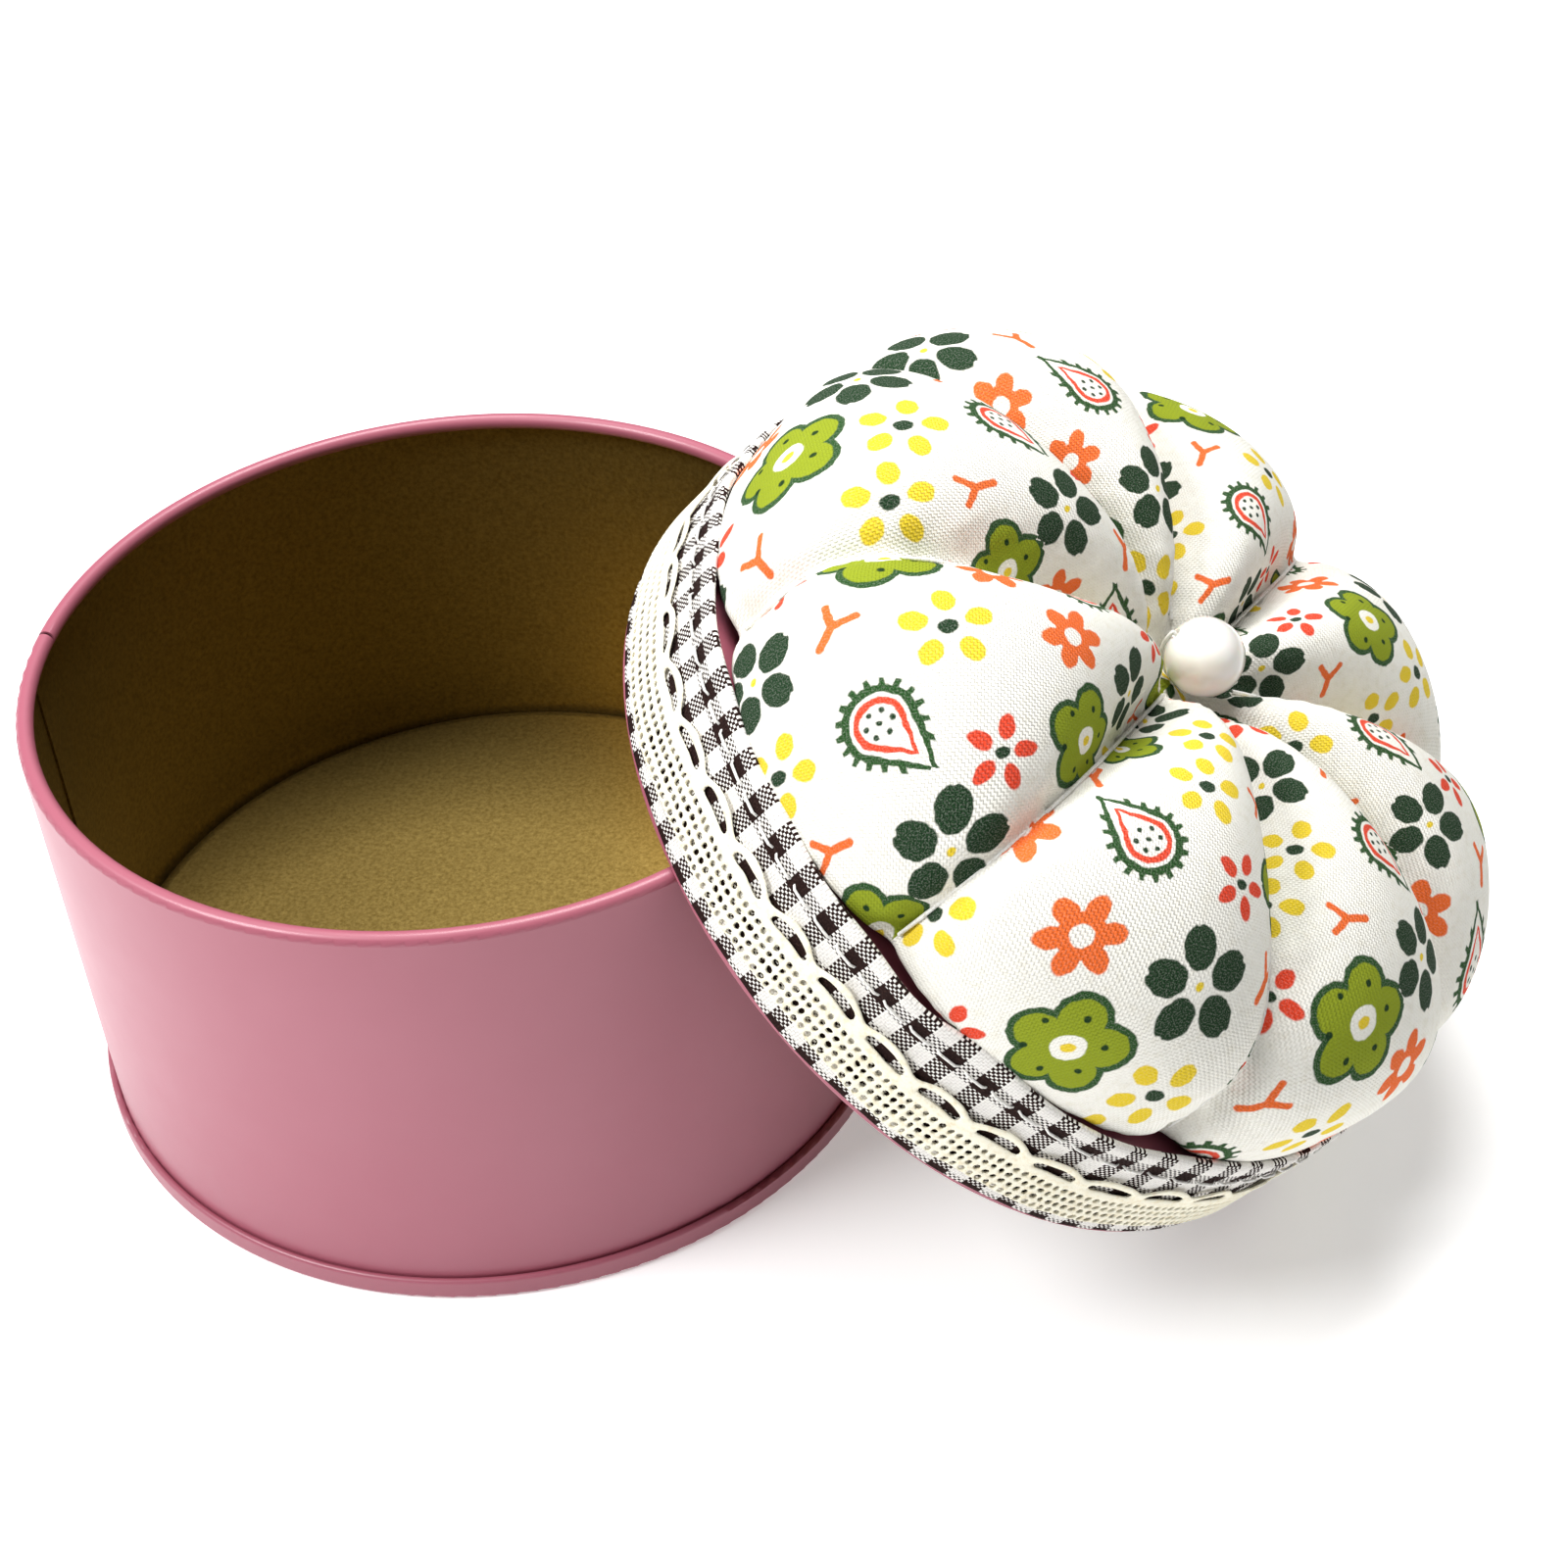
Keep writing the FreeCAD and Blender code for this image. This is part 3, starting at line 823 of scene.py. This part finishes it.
def cushion_form():
    """The stuffed form before it is sewn tight: eight plump balls and a low core, cut flat underneath."""
    mesh = bmesh.new()
    half_out, half_side, half_up = (reach - 0.5 * MM for reach in LOBE_REACH)
    for lobe in range(LOBES):
        centre, _, _ = lobe_axes(lobe)
        ball = bmesh.ops.create_icosphere(mesh, subdivisions=5, radius=1)["verts"]
        for vert in ball:
            vert.co.y *= 1 + LOBE_FLARE[0] * vert.co.x + LOBE_FLARE[1] * vert.co.x ** 2
        size = Matrix.Diagonal((half_out, half_side, half_up, 1))
        place = Matrix.Translation(centre) @ Matrix.Rotation(FULL_TURN * lobe / LOBES, 4, "Z") @ size
        bmesh.ops.transform(mesh, verts=ball, matrix=place)
        low = [vert for vert in ball if vert.co.z < LOBE_HEIGHT]
        bmesh.ops.scale(mesh, verts=low, vec=(1, 1, LOBE_SAG), space=Matrix.Translation((0, 0, -LOBE_HEIGHT)))
    core_height = (CORE_TOP - CUSHION_BOTTOM) / 2
    core = Matrix.Translation((0, 0, CUSHION_BOTTOM + core_height)) @ Matrix.Diagonal(
        (CORE_RADIUS * 1.3, CORE_RADIUS * 1.3, core_height, 1))
    bmesh.ops.create_icosphere(mesh, subdivisions=4, radius=1, matrix=core)
    for vert in mesh.verts:
        vert.co.z = max(vert.co.z, CUSHION_BOTTOM + 0.2 * MM)
    form = new_object("cushion", mesh)
    remesh = form.modifiers.new("one_skin", "REMESH")
    remesh.mode = "VOXEL"
    remesh.voxel_size = VOXEL
    return apply_modifiers(form)


def off_groove(point):
    """Distance from the nearest groove between two lobes, measured round the lid."""
    angle = math.atan2(point.y, point.x)
    sector = FULL_TURN / LOBES
    from_groove = (angle + sector) % sector - sector / 2
    return math.hypot(point.x, point.y) * math.sin(abs(from_groove))


def tight_sewing(point):
    """How firmly the sewing and glue hold a point of the cover, from 0 to 1."""
    radius = math.hypot(point.x, point.y)
    groove = 1 - smooth_step(0.6 * MM, 2.4 * MM, off_groove(point))
    middle = 1 - smooth_step(4 * MM, 7 * MM, radius)
    foot = 1 - smooth_step(CUSHION_BOTTOM + 1 * MM, CUSHION_BOTTOM + 3.5 * MM, point.z)
    return max(groove, middle, foot)


def stuff_cushion(form):
    """Blows the cover up as cloth under pressure, held along its sewing, and keeps the result."""
    start = [vert.co.copy() for vert in form.data.vertices]
    form.data.transform(Matrix.Scale(SIMULATED_SCALE, 4))
    held = form.vertex_groups.new(name="held")
    for vert, point in zip(form.data.vertices, start):
        held.add([vert.index], tight_sewing(point), "REPLACE")
    cloth = form.modifiers.new("cloth", "CLOTH")
    settings = cloth.settings
    settings.quality = 5
    settings.mass = 0.25
    settings.tension_stiffness = 12
    settings.compression_stiffness = 12
    settings.shear_stiffness = 6
    settings.bending_stiffness = 0.4
    settings.use_pressure = True
    settings.uniform_pressure_force = 4
    settings.effector_weights.gravity = 0
    settings.vertex_group_mass = "held"
    settings.pin_stiffness = 5
    cloth.collision_settings.use_collision = False
    scene = bpy.context.scene
    for step in range(1, STUFFING_FRAMES + 1):
        scene.frame_set(step)
    evaluated = form.evaluated_get(bpy.context.evaluated_depsgraph_get())
    blown = [vert.co / SIMULATED_SCALE for vert in evaluated.data.vertices]
    form.modifiers.clear()
    scene.frame_set(1)
    for vert, before, after in zip(form.data.vertices, start, blown):
        move = after - before
        if move.length > SWELL_CAP:
            move = move.normalized() * SWELL_CAP
        vert.co = before + move


def sew_grooves(form):
    """Pulls the cover in along each groove, and gathers small pleats towards the middle and the grooves."""
    centre = Vector((0, 0, CUSHION_BOTTOM + 4 * MM))
    for vert in form.data.vertices:
        point = vert.co
        radius = math.hypot(point.x, point.y)
        angle = math.atan2(point.y, point.x)
        inwards = (centre - point).normalized()
        depth = CREASE_DEPTH * math.exp(-(off_groove(point) / CREASE_WIDTH) ** 2)
        depth *= smooth_step(CUSHION_BOTTOM, CUSHION_BOTTOM + 4 * MM, point.z)
        depth *= smooth_step(3 * MM, 9 * MM, radius)
        near_middle = math.exp(-((radius - 5 * MM) / (5 * MM)) ** 2)
        pleat = PLEAT * near_middle * wave(angle, 40, 0.6 * wave(angle, 3))
        near_groove = math.exp(-((off_groove(point) - 2 * MM) / (2 * MM)) ** 2)
        pucker = PUCKER * near_groove * math.sin(radius / MM * 1.7 + point.z / MM * 1.3 + 3 * angle)
        slack = SLACK * noise.noise(point * 95)
        vert.co = point + inwards * (depth + pleat + pucker + slack)


# The print's repeat, in mm: large motifs with small ones filling in between. Each has its kind, its place in
# the repeat and its turn in degrees.
REPEAT = (44, 40)
REPEAT_MOTIFS = (
    ("green_flower", 6, 6, 20), ("yellow_flower", 17, 4, 0), ("paisley", 28, 7, 140),
    ("red_flower", 39, 4, 10),
    ("orange_flower", 3, 17, 15), ("forest_flower", 15, 15, 35), ("sprig", 24, 17, 60),
    ("yellow_flower", 34, 16, 25), ("paisley", 7, 27, 320), ("red_flower", 18, 25, 0),
    ("green_flower", 28, 27, 40), ("orange_flower", 39, 26, 0), ("yellow_flower", 14, 35, 10),
    ("sprig", 23, 36, 200), ("forest_flower", 35, 36, 20), ("sprig", 1, 36, 110))
NEXT_LOBE = (17, 11)            # how far along the repeat the next lobe starts: the groove takes up the rest
SHEET_TURN = math.radians(20)   # the cloth's grain from the lid's +X


def part_at_grooves(form):
    """Cuts the cover's faces along the grooves, so that each lies on one lobe only."""
    mesh = bmesh.new()
    mesh.from_mesh(form.data)
    for groove in range(LOBES // 2):
        across = on_ring(FULL_TURN * (groove + 0.5) / LOBES + math.pi / 2, 1, 0)
        bmesh.ops.bisect_plane(mesh, geom=mesh.verts[:] + mesh.edges[:] + mesh.faces[:], dist=0.05 * MM,
                               plane_co=(0, 0, 0), plane_no=across)
    mesh.to_mesh(form.data)
    mesh.free()


def cloth_place(point, lobe):
    """Where a point of a lobe lies on the flat printed cloth, in mm."""
    centre, outwards, sideways = lobe_axes(lobe)
    pole = outwards * math.sin(POLE_TILT) + Z_AXIS * math.cos(POLE_TILT)
    down = outwards * math.cos(POLE_TILT) - Z_AXIS * math.sin(POLE_TILT)
    ray = (point - centre).normalized()
    across = ray.dot(sideways)
    along = ray.dot(down)
    reach = ray.angle(pole) * LOBE_ROUND / MM / max(math.hypot(across, along), 1e-6)
    turn = FULL_TURN * lobe / LOBES - SHEET_TURN
    across, along = across * reach, along * reach
    return (along * math.cos(turn) - across * math.sin(turn) + NEXT_LOBE[0] * lobe,
            along * math.sin(turn) + across * math.cos(turn) + NEXT_LOBE[1] * lobe)


def nearest_motif(place):
    """The motif that a place on the cloth belongs to: its kind, its own middle and its turn."""
    found = []
    for kind, x, y, turn in REPEAT_MOTIFS:
        x += REPEAT[0] * round((place[0] - x) / REPEAT[0])
        y += REPEAT[1] * round((place[1] - y) / REPEAT[1])
        found.append((math.hypot(place[0] - x, place[1] - y) - MOTIF_RADIUS[kind], kind, x, y, turn))
    return min(found)[1:]


def lay_print(form):
    """Writes the cloth's own coordinates, in mm, and each face's nearest motif and its place in it."""
    mesh = form.data
    cloth = mesh.uv_layers.new(name="cloth")
    local = mesh.uv_layers.new(name="motif")
    kinds = mesh.attributes.new("kind", "FLOAT", "FACE")
    names = [draw.__name__ for draw in MOTIFS]
    for face in mesh.polygons:
        lobe = round(math.atan2(face.center.y, face.center.x) * LOBES / FULL_TURN) % LOBES
        kind, middle_x, middle_y, degrees = nearest_motif(cloth_place(face.center, lobe))
        kinds.data[face.index].value = names.index(kind)
        cos, sin = math.cos(math.radians(degrees)), math.sin(math.radians(degrees))
        for corner in face.loop_indices:
            place = cloth_place(mesh.vertices[mesh.loops[corner].vertex_index].co, lobe)
            cloth.data[corner].uv = place
            x, y = place[0] - middle_x, place[1] - middle_y
            local.data[corner].uv = (x * cos + y * sin, y * cos - x * sin)


def cushion():
    form = cushion_form()
    stuff_cushion(form)
    rounded(form, 1)
    apply_modifiers(form)
    sew_grooves(form)
    part_at_grooves(form)
    lay_print(form)
    surface = BVHTree.FromPolygons([v.co.copy() for v in form.data.vertices],
                                   [tuple(face.vertices) for face in form.data.polygons])
    form.data.transform(LID)
    form.data.shade_smooth()
    dress(form, printed_cotton())
    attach(form, "lid")
    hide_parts("cushion_cover", "cushion_filling")
    return surface


# ---------------------------------------------------------------- bead and threads
def pearl_bead():
    """A ball bored from side to side, spun from one arc and turned to lie across the lid."""
    steps = 40
    bore = math.asin(BEAD_BORE / BEAD_RADIUS)
    arc = [bore + (math.pi - 2 * bore) * step / steps for step in range(steps + 1)]
    points = [(BEAD_RADIUS * math.sin(turn), BEAD_RADIUS * math.cos(turn)) for turn in arc]
    points.insert(0, (BEAD_BORE, 0))
    points.append((BEAD_BORE, 0))
    mesh = spun(points, 72)
    place = LID @ Matrix.Translation((0, 0, BEAD_HEIGHT)) @ Matrix.Rotation(math.pi / 2, 4, "Y")
    bead = new_object("pearl", mesh, place)
    dress(bead, pearl())
    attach(bead, "lid")
    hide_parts("pearl_bead")


def groove_threads(surface, thread):
    """Eight tight threads from under the bead over the top and down the side, one along each groove."""
    data = bpy.data.curves.new("groove_threads", "CURVE")
    data.dimensions = "3D"
    data.bevel_depth = THREAD_RADIUS
    data.bevel_resolution = 2
    data.resolution_u = 4
    steps = 12
    for groove in range(LOBES):
        angle = FULL_TURN * (groove + 0.5) / LOBES
        heart = on_ring(angle, THREAD_HEART, CUSHION_BOTTOM + 4 * MM)
        points = []
        for step in range(steps + 1):
            tilt = math.radians(THREAD_FROM + THREAD_SWEEP * step / steps)
            ray = on_ring(angle, math.sin(tilt), math.cos(tilt))
            hit = surface.ray_cast(heart + ray * 60 * MM, -ray)[0]
            points.append(hit + ray * THREAD_RADIUS)
        spline = data.splines.new("NURBS")
        spline.points.add(len(points) - 1)
        for place, point in zip(spline.points, points):
            place.co = (*(LID @ point), 1)
        spline.order_u = 3
        spline.use_endpoint_u = True
    curve = bpy.data.objects.new("groove_threads", data)
    bpy.context.scene.collection.objects.link(curve)
    mesh = bpy.data.meshes.new_from_object(curve.evaluated_get(bpy.context.evaluated_depsgraph_get()))
    bpy.data.objects.remove(curve)
    threads_object = bpy.data.objects.new("groove_threads", mesh)
    bpy.context.scene.collection.objects.link(threads_object)
    mesh.shade_smooth()
    dress(threads_object, thread)
    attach(threads_object, "lid")
    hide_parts("lobe_threads")


def threads(surface):
    """The threads under the cushion and through the bead keep their shapes."""
    thread = cream_cotton("twisted_thread", colour(250, 249, 245), colour(216, 210, 196), 3600)
    for node in ("gathering_thread", "bead_thread"):
        dress(frame["nodes"][node], thread)
    groove_threads(surface, thread)


camera()
studio()
metal_parts()
band = gingham_band()
lace = lace_trim()
stitches = band_stitches()
cushion_surface = cushion()
pearl_bead()
threads(cushion_surface)
